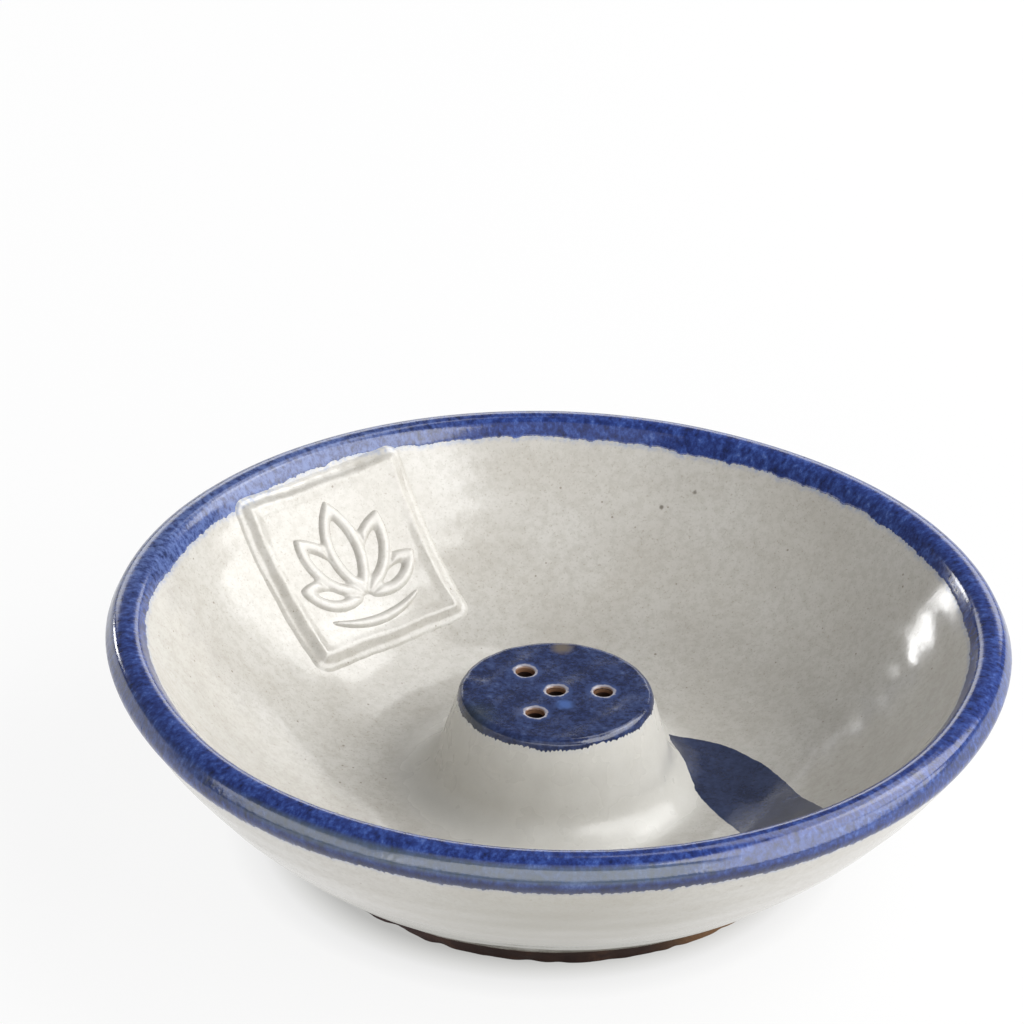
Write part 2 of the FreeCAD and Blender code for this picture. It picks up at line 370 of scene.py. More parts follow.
class Solid:
    """A closed mesh being put together, from loops of points round the axis or from grids."""

    def __init__(self):
        self.points = []
        self.faces = []
        self.facts = {}
        self.count = 0

    def add(self, points, **facts):
        """Adds points with their facts, one number or vector each, and returns their indices."""
        flat = points.reshape(-1, 3)
        self.points.append(flat)
        for name, value in facts.items():
            self.facts.setdefault(name, []).append(np.reshape(value, (len(flat), -1)))
        index = np.arange(self.count, self.count + len(flat)).reshape(points.shape[:-1])
        self.count += len(flat)
        return index

    def bridge(self, a, b):
        """Faces between two closed loops. One has a whole number of times the other's points."""
        if len(a) > len(b):
            a, b = b, a
        if len(a) == 1:
            self.faces += [[a[0], b[k], b[(k + 1) % len(b)]] for k in range(len(b))]
            return
        times = len(b) // len(a)
        for j in range(len(a)):
            far_side = [b[(j * times + k) % len(b)] for k in range(times, -1, -1)]
            self.faces.append([a[j], a[(j + 1) % len(a)]] + far_side)

    def loops(self, rings, closed=True):
        """Bridges each ring to the next, and the last to the first."""
        for a, b in zip(rings, rings[1:]):
            self.bridge(a, b)
        if closed:
            self.bridge(rings[-1], rings[0])

    def make(self, name, material, node):
        """Makes the piece: faces turned outwards, shaded smooth, on the frame in its node's place."""
        mesh = bpy.data.meshes.new(name)
        mesh.from_pydata((np.concatenate(self.points) * mm).tolist(), [], self.faces)
        for fact, parts in self.facts.items():
            values = np.concatenate(parts)
            kind, key = ("FLOAT", "value") if values.shape[1] == 1 else ("FLOAT_VECTOR", "vector")
            layer = mesh.attributes.new(fact, kind, "POINT")
            layer.data.foreach_set(key, values.ravel().astype(np.float32))
        work = bmesh.new()
        work.from_mesh(mesh)
        bmesh.ops.recalc_face_normals(work, faces=work.faces)
        work.to_mesh(mesh)
        work.free()
        mesh.shade_smooth()
        mesh.set_sharp_from_angle(angle=radians(55.0))
        mesh.materials.append(material)
        piece = bpy.data.objects.new(name, mesh)
        bpy.context.scene.collection.objects.link(piece)
        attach(piece, "root")
        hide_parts(node)


class Paint:
    """A node material being built. Each call adds a node and returns one of its outputs."""

    def __init__(self, name, **constants):
        self.material = bpy.data.materials.new(name)
        self.material.use_nodes = True
        self.tree = self.material.node_tree
        self.shader = self.tree.nodes["Principled BSDF"]
        for socket, value in constants.items():
            title = socket.replace("_", " ").title().replace("Ior", "IOR")
            self.shader.inputs[title].default_value = value
        place = self.add("TexCoord", output="Object")
        self.place = self.add("VectorMath", {0: place, "Scale": 1 / mm}, operation="SCALE")

    def add(self, kind, inputs=None, output=0, **settings):
        node = self.tree.nodes.new("ShaderNode" + kind)
        for name, value in settings.items():
            setattr(node, name, value)
        for socket, value in (inputs or {}).items():
            self.put(value, node.inputs[socket])
        return node.outputs[output]

    def put(self, value, socket):
        if isinstance(value, bpy.types.NodeSocket):
            self.tree.links.new(value, socket)
        else:
            socket.default_value = value

    def math(self, operation, a, b=0.0):
        return self.add("Math", {0: a, 1: b}, operation=operation)

    def times(self, a, b):
        return self.math("MULTIPLY", a, b)

    def scaled(self, vector, by):
        return self.add("VectorMath", {0: vector, 1: by}, operation="MULTIPLY")

    def distance(self, a, b=(0.0, 0.0, 0.0)):
        return self.add("VectorMath", {0: a, 1: b}, operation="DISTANCE", output=1)

    def part(self, vector, axis):
        return self.add("SeparateXYZ", {0: vector}, output=axis)

    def step(self, value, start, end, out=(0.0, 1.0)):
        """Smoothly from out[0] to out[1] as value goes from start to end."""
        inputs = {"Value": value, "From Min": start, "From Max": end}
        inputs.update({"To Min": out[0], "To Max": out[1]})
        return self.add("MapRange", inputs, interpolation_type="SMOOTHSTEP")

    def noise(self, place, size, detail=3.0, roughness=0.5, distortion=0.0):
        inputs = {"Vector": place, "Scale": 1 / size, "Detail": detail}
        inputs.update({"Roughness": roughness, "Distortion": distortion})
        return self.add("TexNoise", inputs)

    def mix(self, share, a, b):
        """From colour or socket a to b."""
        a, b = [value + (1.0,) if isinstance(value, tuple) else value for value in (a, b)]
        return self.add("Mix", {0: share, 6: a, 7: b}, output=2, data_type="RGBA")

    def tint(self, share, colour):
        """Lays that share of a colour over what is painted so far."""
        self.colour = self.mix(share, self.colour, colour)

    def wash(self, value, start, end, share, colour):
        """Lays a colour on, up to that share of it, as value goes from start to end."""
        self.tint(self.step(value, start, end, (0.0, share)), colour)

    def ramp(self, value, *stops):
        """Through (place, colour) stops."""
        node = self.tree.nodes.new("ShaderNodeValToRGB")
        self.tree.links.new(value, node.inputs[0])
        elements = node.color_ramp.elements
        while len(elements) < len(stops):
            elements.new(0.5)
        for element, (place, colour) in zip(elements, stops):
            element.position = place
            element.color = colour + (1.0,)
        return node.outputs[0]

    def specks(self, size, share, radius):
        """Round specks in a random share of cells: 1 inside a speck."""
        cells = {"Vector": self.place, "Scale": 1 / size}
        from_middle = self.add("TexVoronoi", cells, output="Distance")
        colour = self.add("TexVoronoi", cells, output="Color")
        chosen = self.step(self.add("SeparateColor", {0: colour}, output=0), share, share - 0.02)
        reach = self.times(self.add("SeparateColor", {0: colour}, output=1), radius / size)
        inside = self.math("SUBTRACT", reach, from_middle)
        return self.times(chosen, self.step(inside, -0.03, 0.03))

    def fact(self, name, output="Fac"):
        return self.add("Attribute", output=output, attribute_name=name)

    def bump(self, height, distance, strength=1.0, normal=None):
        """A bump that far high in millimetres."""
        inputs = {"Height": height, "Distance": distance * mm, "Strength": strength}
        if normal is not None:
            inputs["Normal"] = normal
        return self.add("Bump", inputs)

    def finish(self, **sockets):
        for socket, value in sockets.items():
            self.put(value, self.shader.inputs[socket.replace("_", " ").title()])
        return self.material


def white_glaze():
    """Speckled white glaze: tinged blue beside the blue, whiter on the stick holder as painted light,
    painted shade low down and in front, and brown where it ends above the foot."""
    paint = Paint("white_glaze", ior=1.6)
    place = paint.place
    cloud = paint.noise(place, 17.0, 4.0, 0.6)
    cream, pale = (0.470, 0.450, 0.410), (0.515, 0.500, 0.465)
    paint.colour = paint.mix(paint.step(cloud, 0.3, 0.7), cream, pale)
    mottle = paint.noise(place, 1.5, 4.0, 0.7)
    paint.wash(mottle, 0.60, 0.36, 0.30, (0.33, 0.305, 0.26))
    freckle = paint.noise(place, 0.42, 3.0, 0.65)
    paint.wash(freckle, 0.54, 0.74, 0.55, (0.27, 0.24, 0.19))
    fine = paint.specks(1.9, 0.30, 0.24)
    paint.tint(paint.times(fine, 0.6), (0.15, 0.12, 0.085))
    iron = paint.specks(6.0, 0.22, 0.50)
    paint.tint(paint.times(iron, 0.75), (0.09, 0.07, 0.05))
    near_blue = paint.step(paint.fact("blue_gap"), 1.1, 0.0)
    bleed = paint.step(paint.noise(place, 0.7, 3.0, 0.6), 0.3, 0.7)
    paint.tint(paint.times(near_blue, bleed), (0.30, 0.34, 0.45))
    on_boss = paint.step(paint.distance(paint.scaled(place, (1.0, 1.0, 0.0))), 29.0, 24.0)
    # Painted light: the coat on the stick holder is made whiter to stand in for the light it catches.
    paint.tint(paint.times(on_boss, 0.75), (0.60, 0.59, 0.55))
    # Painted shade: the outside wall is made greyer in front, where it faces down towards the floor.
    from_front = paint.distance(place, (2.0, -64.0, 17.0))
    paint.wash(from_front, 40.0, 5.0, 0.9, (0.30, 0.285, 0.24))
    from_foot = paint.fact("foot_gap")
    # Painted shade: darker towards the foot, where the wall faces the shaded floor under the dish.
    paint.wash(from_foot, 24.0, 2.0, 0.7, (0.21, 0.205, 0.165))
    paint.wash(from_foot, 1.5, 0.2, 0.8, (0.42, 0.30, 0.20))
    # Painted highlight: paler on the lotus's raised ridges, by their height.
    paint.wash(paint.fact("ridge"), 0.25, 0.8, 0.35, (0.58, 0.565, 0.535))
    rough = paint.step(paint.noise(place, 5.0, 2.0), 0.3, 0.7, (0.12, 0.18))
    rough = paint.math("ADD", rough, paint.times(on_boss, 0.14))
    soft = paint.bump(paint.noise(place, 3.2, 2.0), 0.035)
    normal = paint.bump(paint.noise(place, 0.7, 2.0), 0.010, normal=soft)
    return paint.finish(base_color=paint.colour, roughness=rough, normal=normal)


def blue_glaze(name, deep, middle, light, pale, coarse):
    """Mottled cobalt glaze with a fine grain and a paler broken edge. coarse is the share of
    its large patches."""
    paint = Paint(name, ior=1.62)
    drawn = paint.scaled(paint.fact("drawn", "Vector"), (1.0, 1.0, 0.75))
    broad = paint.noise(drawn, 4.5, 3.0, 0.6, 0.4)
    fleck = paint.noise(drawn, 0.95, 3.5, 0.72)
    tone = paint.math("ADD", paint.times(broad, coarse), paint.times(fleck, 1 - coarse))
    paint.colour = paint.ramp(tone, (0.34, deep), (0.48, middle), (0.60, light), (0.74, pale))
    broken = paint.step(paint.noise(drawn, 0.6, 3.0, 0.7), 0.40, 0.60)
    at_edge = paint.times(paint.step(paint.fact("edge_gap"), 0.40, 0.05, (0.0, 0.5)), broken)
    paint.tint(at_edge, (0.11, 0.14, 0.23))
    return paint, drawn, broad, fleck


def finish_blue(paint, broad, fleck):
    rough = paint.step(broad, 0.3, 0.7, (0.11, 0.19))
    soft = paint.bump(broad, 0.03)
    normal = paint.bump(fleck, 0.022, normal=soft)
    return paint.finish(base_color=paint.colour, roughness=rough, normal=normal)


def plain_blue(*looks):
    paint, _, broad, fleck = blue_glaze(*looks)
    return finish_blue(paint, broad, fleck)


def rim_glaze(*looks):
    """The rim's blue: grey over the worn flat, greyer in front as a painted reflection, with painted
    shade low down in front and a painted sheen at the back left.
    """
    paint, _, broad, fleck = blue_glaze(*looks)
    place = paint.fact("drawn", "Vector")
    x, y, along = (paint.part(place, axis) for axis in range(3))
    # Painted sheen: a paler, flecked blue at the back left stands in for a reflection.
    painted_sheen_back_left = paint.times(paint.step(x, -8.0, -40.0), paint.step(y, -12.0, 22.0))
    flecks = paint.step(fleck, 0.36, 0.62, (0.10, 0.55))
    paint.tint(paint.times(painted_sheen_back_left, flecks), (0.13, 0.18, 0.35))
    # Grey over the worn flat: a little all round for thin glaze, and much more in front as a painted
    # reflection.
    flat = marks["crest"] + lip_band_middle
    from_flat = paint.math("ABSOLUTE", paint.math("SUBTRACT", along, flat))
    in_front = paint.times(paint.step(x, 34.0, 8.0), paint.step(x, -58.0, -34.0))
    thin_and_sheen_share = paint.step(in_front, 0.0, 1.0, (0.12, 0.60))
    thin = paint.times(paint.step(from_flat, 2.0, 0.8), thin_and_sheen_share)
    paint.tint(thin, (0.095, 0.122, 0.120))
    # Painted shade: darker blue low on the outside in front, where the lip faces the shaded floor.
    low_down = paint.step(along, marks["crest"] + 5.2, marks["crest"] + 6.4, (0.0, 0.7))
    painted_shade_low_front = paint.times(paint.step(y, -42.0, -66.0), low_down)
    paint.tint(painted_shade_low_front, (0.010, 0.012, 0.035))
    return finish_blue(paint, broad, fleck)


def spot(paint, place, middle, size, ragged):
    """How far inside a round spot a place is, with a ragged outline: 1 inside, 0 outside."""
    away = paint.math("ADD", paint.distance(place, middle), paint.times(ragged, size))
    return paint.step(away, size * 2.2, size * 0.9)


def cap_glaze(*looks):
    """The cap's blue, with a pale ring round each stick hole and brown in its mouth. It has a
    light drop, a bare smudge at the back and a dark patch at one side."""
    paint, drawn, broad, fleck = blue_glaze(*looks)
    ragged = paint.noise(drawn, 1.1, 3.0, 0.6)
    gap = paint.fact("mouth_gap")
    ring = paint.math("ADD", gap, paint.step(ragged, 0.25, 0.75, (-0.22, 0.22)))
    paint.wash(ring, 1.5, 0.4, 0.45, (0.05, 0.085, 0.23))
    paint.wash(ring, 0.42, 0.16, 0.9, (0.30, 0.29, 0.33))
    drop = spot(paint, drawn, (1.5, -4.4, 0.0), 1.2, ragged)
    paint.tint(drop, (0.05, 0.10, 0.28))
    smudge = spot(paint, drawn, (1.0, 13.8, 0.0), 1.5, ragged)
    paint.tint(smudge, (0.12, 0.10, 0.085))
    dark_side = spot(paint, drawn, (-14.0, -8.5, 0.0), 3.6, ragged)
    paint.tint(paint.times(dark_side, 0.7), (0.018, 0.028, 0.038))
    paint.tint(paint.step(gap, -0.05, -0.45), (0.16, 0.085, 0.05))
    return finish_blue(paint, broad, fleck)


def bare_clay():
    """Unglazed clay: dark and sandy, burnt golden at the right and dull mauve at the left."""
    paint = Paint("bare_clay", ior=1.45, specular_ior_level=0.15)
    place = paint.place
    cloud = paint.noise(place, 9.0, 5.0, 0.65)
    dark, middle, light = (0.014, 0.007, 0.006), (0.025, 0.013, 0.010), (0.07, 0.038, 0.024)
    paint.colour = paint.ramp(cloud, (0.34, dark), (0.52, middle), (0.70, light))
    sand = paint.noise(place, 0.45, 3.0, 0.7)
    paint.wash(sand, 0.55, 0.8, 0.6, (0.016, 0.010, 0.008))
    grain = paint.specks(1.6, 0.30, 0.3)
    paint.tint(paint.times(grain, 0.4), (0.11, 0.07, 0.045))
    x = paint.part(place, 0)
    paint.wash(x, 14.0, 34.0, 0.75, (0.24, 0.13, 0.06))
    paint.wash(x, -8.0, -30.0, 0.45, (0.085, 0.055, 0.058))
    rough = paint.step(cloud, 0.3, 0.7, (0.62, 0.85))
    soft = paint.bump(cloud, 0.25)
    normal = paint.bump(sand, 0.08, normal=soft)
    return paint.finish(base_color=paint.colour, roughness=rough, normal=normal)


def pale_floor():
    """A white sweep that glows with its own light, dimmed round the foot as a painted shadow."""
    grey = (0.06, 0.06, 0.06, 1.0)
    paint = Paint("pale_floor", roughness=0.9, base_color=grey, emission_strength=1.0)
    # Painted shadow: the floor's glow is dimmed in a ring round the foot.
    far = paint.math("DIVIDE", paint.distance(paint.place, (-2.5, 0.0, 0.0)), 100.0)
    shade, edge = (0.46, 0.46, 0.45), (0.66, 0.66, 0.65)
    pale, open_floor = (0.80, 0.80, 0.80), (0.88, 0.88, 0.88)
    glow = paint.ramp(far, (0.41, shade), (0.445, edge), (0.475, pale), (0.53, open_floor))
    return paint.finish(emission_color=glow)


white = white_glaze()
rim_blue = rim_glaze(
    "blue_rim",
    (0.005, 0.010, 0.050), (0.013, 0.028, 0.145), (0.032, 0.068, 0.26), (0.12, 0.18, 0.40), 0.25,
)
cap_blue = cap_glaze(
    "blue_cap",
    (0.006, 0.009, 0.030), (0.013, 0.022, 0.075), (0.030, 0.050, 0.14), (0.10, 0.14, 0.26), 0.35,
)
leaf_blue = plain_blue(
    "blue_leaf",
    (0.012, 0.017, 0.044), (0.020, 0.029, 0.072), (0.029, 0.042, 0.100), (0.042, 0.057, 0.125), 0.45,
)
clay = bare_clay()

columns = 2048
drawn_radius = 70.0


def circle(radius, angle):
    return np.stack([radius * np.cos(angle), radius * np.sin(angle)], axis=-1)


def at_height(radius, angle, height):
    """A loop round the axis."""
    height = np.broadcast_to(height, angle.shape)
    return np.stack([radius * np.cos(angle), radius * np.sin(angle), height], axis=-1)


def drawn_place(angle, along):
    """A place on the skin laid out as on a drum, for flecks that run along it."""
    return at_height(drawn_radius, angle, along)


def blue_facts(gap, drawn):
    """What a blue glaze needs to know where no stick hole is near."""
    return {"edge_gap": gap, "drawn": drawn, "mouth_gap": np.full_like(gap, far_away)}


def between(first, last, count):
    """Lines evenly spaced from one to another, without the two."""
    return [first + (last - first) * share for share in np.linspace(0, 1, count)[1:-1]]


def edge_rise(gap):
    """A melted edge's height over the coat beside it: sunk at the very edge, then level."""
    return np.interp(gap, (0.0, 0.07, 0.18, 0.4, 2.2, 3.6), (-0.12, 0.0, 0.035, 0.05, 0.05, 0.0))


def make_rim():
    """The blue band over the lip."""
    solid = Solid()
    angle = round_axis(columns)
    (first, _, last), _ = lines_round(columns)
    lines = [first + step for step in edge_steps]
    lines += between(lines[-1], last - edge_steps[-1], 21)
    lines += [last - step for step in reversed(edge_steps)]
    rings = []
    for along in lines:
        gap = np.minimum(along - first, last - along)
        facts = blue_facts(gap, drawn_place(angle, along))
        rings.append(solid.add(on_skin(angle, along, edge_rise(gap)), **facts))
    for share in np.linspace(1, 0, 6):
        along = first + (last - first) * share
        facts = blue_facts(np.zeros(columns), drawn_place(angle, along))
        rings.append(solid.add(on_skin(angle, along, -glaze), **facts))
    solid.loops(rings)
    solid.make("rim_band", rim_blue, "blue_rim_glaze")


def white_ring(solid, count, along, out):
    """A ring of the white coat, at one distance along the skin or at one for each angle."""
    along = np.broadcast_to(along, count)
    blue, foot = lines_round(count)
    foot_gap = np.where(along > marks["crest"], foot - along, far_from_foot)
    facts = {"blue_gap": blue_gap(along, blue), "foot_gap": foot_gap, "ridge": np.zeros(count)}
    return solid.add(on_skin(round_axis(count), along, out), **facts)


def make_white_inside():
    """The white coat from under the cap's blue, over the floor, to under the rim's blue."""
    solid = Solid()
    start, end = cap_edge - 1.3, inner_edge + 2.0
    boss_lines = np.linspace(start, marks["boss_foot"] + 2, 34)
    wall_lines = np.linspace(marks["boss_foot"] + 2, end, 56)[1:]
    rings = [white_ring(solid, 512, start, -glaze / 2)]
    rings += [white_ring(solid, 512, along, 0.0) for along in boss_lines]
    rings += [white_ring(solid, 1024, along, 0.0) for along in wall_lines]
    for along in np.linspace(end, start, 24):
        rings.append(white_ring(solid, 512, along, -glaze))
    solid.loops(rings)
    solid.make("white_inside", white, "white_glaze_inside")


def make_white_outside():
    """The white coat down the outside, with a rounded bead where it ends above the foot."""
    solid = Solid()
    count = columns // 2
    start = outer_edge - 1.6
    _, last = lines_round(count)
    lines = list(np.linspace(start, outer_edge + 3, 18))
    lines += between(lines[-1], last - bead_steps[0], 40)
    rings = [white_ring(solid, count, along, 0.0) for along in lines]
    for step in bead_steps:
        round_off = glaze * (sqrt(1 - max(0.0, 1 - step / 0.5) ** 2) - 1)
        bead = 0.07 * np.exp(-(((step - 0.75) / 0.5) ** 2))
        rings.append(white_ring(solid, count, last - step, round_off + bead))
    for share in np.linspace(0, 1, 16):
        rings.append(white_ring(solid, count, last + (start - last) * share, -glaze))
    solid.loops(rings)
    solid.make("white_outside", white, "white_glaze_outside")


@cache
def hole_centres():
    ring = circle(hole_ring_radius, np.radians(hole_angles))
    return np.concatenate([[(0.0, 0.0)], ring])


def cap_wave(x, y):
    """The cap's top is not quite flat."""
    return 0.10 * np.sin(0.42 * x + 0.9) * np.cos(0.37 * y + 0.3) + 0.04 * np.sin(0.9 * x - 0.7 * y)


# A stick hole's mouth: (inset from its rim, depth below the cap), down its lip and back under it
mouth_radius = hole_radius + 0.55
mouth_lip = 0.3
mouth_rim_gap = mouth_radius - hole_radius - mouth_lip
mouth_section = (
    (0.16, 0.02), (0.32, 0.09), (0.46, 0.22), (0.54, 0.42),
    (0.58, 0.7), (0.60, 1.1), (0.52, 1.1), (0.50, 0.45),
)


def cap_points(x, y, depth):
    out = cap_wave(x, y) - depth
    return np.stack([x, y, cap_height + out], axis=-1)


def mouth_gap(x, y):
    """Distance outside the lip of the nearest stick hole."""
    away = [np.hypot(x - cx, y - cy) for cx, cy in hole_centres()]
    return np.minimum.reduce(away) - hole_radius - mouth_lip


def make_cap():
    """The blue coat on the flat top, with a soft mouth round each stick hole."""
    solid = Solid()
    count, hole_count, disc_radius, spacing = 512, 96, 11.2, 0.55
    angle, hole_angle = round_axis(count), round_axis(hole_count)
    outline = circle(disc_radius, angle)
    mouths = [centre + circle(mouth_radius, hole_angle) for centre in hole_centres()]
    steps = np.arange(-disc_radius, disc_radius, spacing)
    gx, gy = np.meshgrid(steps, steps)
    gx = gx + 0.13 * np.sin(7.1 * gy)
    gy = gy + 0.13 * np.sin(6.3 * gx)
    free = (np.hypot(gx, gy) < disc_radius - 0.35) & (mouth_gap(gx, gy) > mouth_rim_gap + 0.25)
    inner = np.stack([gx[free], gy[free]], axis=-1)
    flat = np.concatenate([outline] + mouths + [inner])
    loops = [(0, count)] + [(count + k * hole_count, hole_count) for k in range(len(mouths))]
    edges = [(first + j, first + (j + 1) % size) for first, size in loops for j in range(size)]
    points = [Vector(p) for p in flat]
    found, _, triangles, sources, _, _ = delaunay_2d_cdt(points, edges, [], 0, 1e-6)
    found = np.array([tuple(p) for p in found])
    place_of = {source: k for k, group in enumerate(sources) for source in group}
    triangles = [t for t in triangles if mouth_gap(*found[list(t)].mean(axis=0)) > mouth_rim_gap]

    def facts(x, y):
        drawn = np.stack([x, y, np.zeros_like(x)], axis=-1)
        return {"edge_gap": np.full_like(x, far_away), "drawn": drawn, "mouth_gap": mouth_gap(x, y)}

    x, y = found.T
    top = solid.add(cap_points(x, y, 0.0), **facts(x, y))
    under = solid.add(cap_points(x, y, glaze), **facts(x, y))
    solid.faces += [[top[k] for k in t] for t in triangles]
    solid.faces += [[under[k] for k in t] for t in triangles]
    for loop, centre in zip(loops[1:], hole_centres()):
        own = [place_of[loop[0] + j] for j in range(hole_count)]
        rings = [top[own]]
        for inset, depth in mouth_section:
            hx, hy = (centre + circle(mouth_radius - inset, hole_angle)).T
            inside = facts(hx, hy)
            inside["mouth_gap"] = inside["mouth_gap"] - depth
            rings.append(solid.add(cap_points(hx, hy, depth), **inside))
        rings.append(under[own])
        solid.loops(rings, closed=False)
    (_, last, _), _ = lines_round(count)
    own = [place_of[j] for j in range(count)]
    rings = [top[own]]
    lines = between(disc_radius, last - edge_steps[-1], 19)
    lines += [last - step for step in reversed(edge_steps)]
    for along in lines:
        gap = last - along
        fade = np.interp(along, (disc_radius, cap_flat_radius + 1.5), (1.0, 0.0))
        rise = edge_rise(np.minimum(gap, 2.2))
        ring = on_skin(angle, along, rise * (1 - fade) - uneven(angle, along) * fade)
        drawn = at_height(along, angle, 0.0)
        ring[:, 2] += cap_wave(drawn[:, 0], drawn[:, 1]) * fade
        rings.append(solid.add(ring, **blue_facts(gap, drawn)))
    for share in np.linspace(1, 0, 10)[:-1]:
        along = disc_radius + (last - disc_radius) * share
        ring = on_skin(angle, along, -glaze - uneven(angle, along))
        rings.append(solid.add(ring, **blue_facts(np.full(count, far_away), ring)))
    rings.append(under[own])
    solid.loops(rings, closed=False)
    solid.make("cap_coat", cap_blue, "blue_cap_glaze")


def closed_cells(solid, top, bottom, mask, **facts):
    """A closed slab from two grids of points, only where the mask has cells."""
    for _ in range(4):
        touching = mask[:-1, :-1] & mask[1:, 1:] & ~mask[:-1, 1:] & ~mask[1:, :-1]
        mask[:-1, 1:] |= touching
        touching = mask[:-1, 1:] & mask[1:, :-1] & ~mask[:-1, :-1] & ~mask[1:, 1:]
        mask[:-1, :-1] |= touching
    used = np.zeros(top.shape[:2], bool)
    for i, j in ((0, 0), (0, 1), (1, 0), (1, 1)):
        used[i : used.shape[0] - 1 + i, j : used.shape[1] - 1 + j] |= mask
    upper = np.full(used.shape, -1)
    lower = np.full(used.shape, -1)
    facts = {name: value[used] for name, value in facts.items()}
    upper[used] = solid.add(top[used], **facts)
    lower[used] = solid.add(bottom[used], **facts)
    padded = np.pad(mask, 1)
    for i, j in np.argwhere(mask):
        corners = ((i, j), (i, j + 1), (i + 1, j + 1), (i + 1, j))
        solid.faces.append([upper[c] for c in corners])
        solid.faces.append([lower[c] for c in reversed(corners)])
        beside = (padded[i, j + 1], padded[i + 1, j + 2], padded[i + 2, j + 1], padded[i + 1, j])
        for k, filled in enumerate(beside):
            if not filled:
                a, b = corners[k], corners[(k + 1) % 4]
                solid.faces.append([upper[b], upper[a], lower[a], lower[b]])


def high_cells(grid, level):
    """The cells of a grid with a corner above that level."""
    above = grid > level
    return above[:-1, :-1] | above[1:, 1:] | above[:-1, 1:] | above[1:, :-1]


def pad_axes():
    """The pad's frame on the glazed wall: its middle, then across, up the wall and out of it,
    and how far along the skin it is."""
    along = skin.where(pad_slope, HEADING, marks["boss_foot"] + 2, marks["lip_start"])
    radius, height, _ = (value[0] for value in skin.at(np.array([along])))
    c, s = cos(pad_azimuth), sin(pad_azimuth)
    turn = np.array([[c, -s, 0], [s, c, 0], [0, 0, 1]])
    up_wall = turn @ (cos(pad_slope), 0, sin(pad_slope))
    out = turn @ (-sin(pad_slope), 0, cos(pad_slope))
    return turn @ (radius, 0, height), np.cross(up_wall, out), up_wall, out, along


def on_pad(x, y, rise):
    """Points over the pad's square (x across, y up the wall), each that far out of the skin."""
    middle, across, up_wall, out, start = pad_axes()
    base = middle + x[..., None] * across + y[..., None] * up_wall
    lift = np.zeros_like(x)
    along = start + y
    for _ in range(12):
        place = base + lift[..., None] * out
        along, off = skin.nearest(np.hypot(place[..., 0], place[..., 1]), place[..., 2], along)
        angle = np.arctan2(place[..., 1], place[..., 0])
        lift += rise + uneven(angle, along) - off
    return place, angle, along


def pad_shape(x, y):
    """The pad's height over the wall: a slanted side all round a nearly flat top."""
    up = (y + pad_half_height) / (2 * pad_half_height)
    half_width = pad_half_width_low + (pad_half_width_high - pad_half_width_low) * up
    side_x, side_y = half_width - np.abs(x), pad_half_height - np.abs(y)
    in_x, in_y = pad_corner - side_x, pad_corner - side_y
    corner = pad_corner - np.hypot(np.maximum(in_x, 0), np.maximum(in_y, 0))
    side = np.where((in_x > 0) & (in_y > 0), corner, np.minimum(side_x, side_y))
    side = side + 0.10 * np.sin(0.5 * x + 1.0) * np.cos(0.43 * y) + 0.04 * np.sin(1.7 * x - 1.1 * y)
    slant = np.interp(side, pad_steps, pad_rises)
    return slant + 0.05 * np.sin(0.37 * x + 0.5) * np.sin(0.33 * y + 1.1)


def softened(grid, cells):
    """A grid of heights, smoothed over a few cells."""
    for axis in (0, 1):
        for _ in range(cells):
            ahead, behind = np.roll(grid, 1, axis), np.roll(grid, -1, axis)
            grid = 0.5 * grid + 0.25 * (ahead + behind)
    return grid


def petal_distance(x, y, direction, length, half_width):
    """How far inside a pointed petal, drawn as two arcs, each point is."""
    along = np.array([cos(radians(direction)), sin(radians(direction))])
    u = x * along[0] + (y - lotus_root) * along[1] - (petal_root_gap + length) / 2
    v = -x * along[1] + (y - lotus_root) * along[0]
    half = (length - petal_root_gap) / 2
    arc = (half * half + half_width * half_width) / (2 * half_width)
    return arc - np.hypot(u, np.abs(v) + arc - half_width)


def lotus_shape(x, y):
    """The lotus's ridges: their height over the pad, negative off them."""
    ridge = np.full_like(x, -1.0)
    covered = np.full_like(x, -1e3)
    for direction, length, half_width in petals:
        inside = petal_distance(x, y, direction, length, half_width)
        off_line = np.abs(inside - petal_line / 2) / (petal_line / 2 + 0.15)
        shape = np.where(covered > -0.25, -1.0, 1 - off_line ** 2)
        ridge = np.maximum(ridge, shape)
        covered = np.maximum(covered, inside)
    span = np.clip(np.abs(x) / water_half_width, 0, 1.2)
    middle = water_top - water_sag * (1 - span ** 2)
    width = 0.95 * np.sqrt(np.clip(1.02 - span ** 2, 0.0, 1))
    water = 1 - ((y - middle) / np.maximum(width, 0.05)) ** 2
    water = np.where(span > 1.0, -1.0, water)
    ridge = np.maximum(ridge, np.maximum(water, -1.0))
    return relief_height * np.where(ridge > 0, np.sqrt(np.maximum(ridge, 0)), ridge)


def pad_grid(half, spacing):
    steps = np.arange(-half, half + spacing / 2, spacing)
    return np.meshgrid(steps, steps, indexing="ij")


def pad_facts(angle, along, ridge):
    blue = blue_gap(along, blue_lines(angle))
    return {"blue_gap": blue, "foot_gap": np.full_like(angle, far_from_foot), "ridge": ridge}


def make_pad():
    """The stamped pad, sunk a little into the white coat."""
    solid = Solid()
    x, y = pad_grid(19.6, 0.24)
    height = softened(pad_shape(x, y), 2)
    top, angle, along = on_pad(x, y, height)
    bottom, _, _ = on_pad(x, y, np.full_like(x, -0.9))
    facts = pad_facts(angle, along, np.zeros_like(x))
    closed_cells(solid, top, bottom, high_cells(height, -0.34), **facts)
    solid.make("pad", white, "relief_tile")


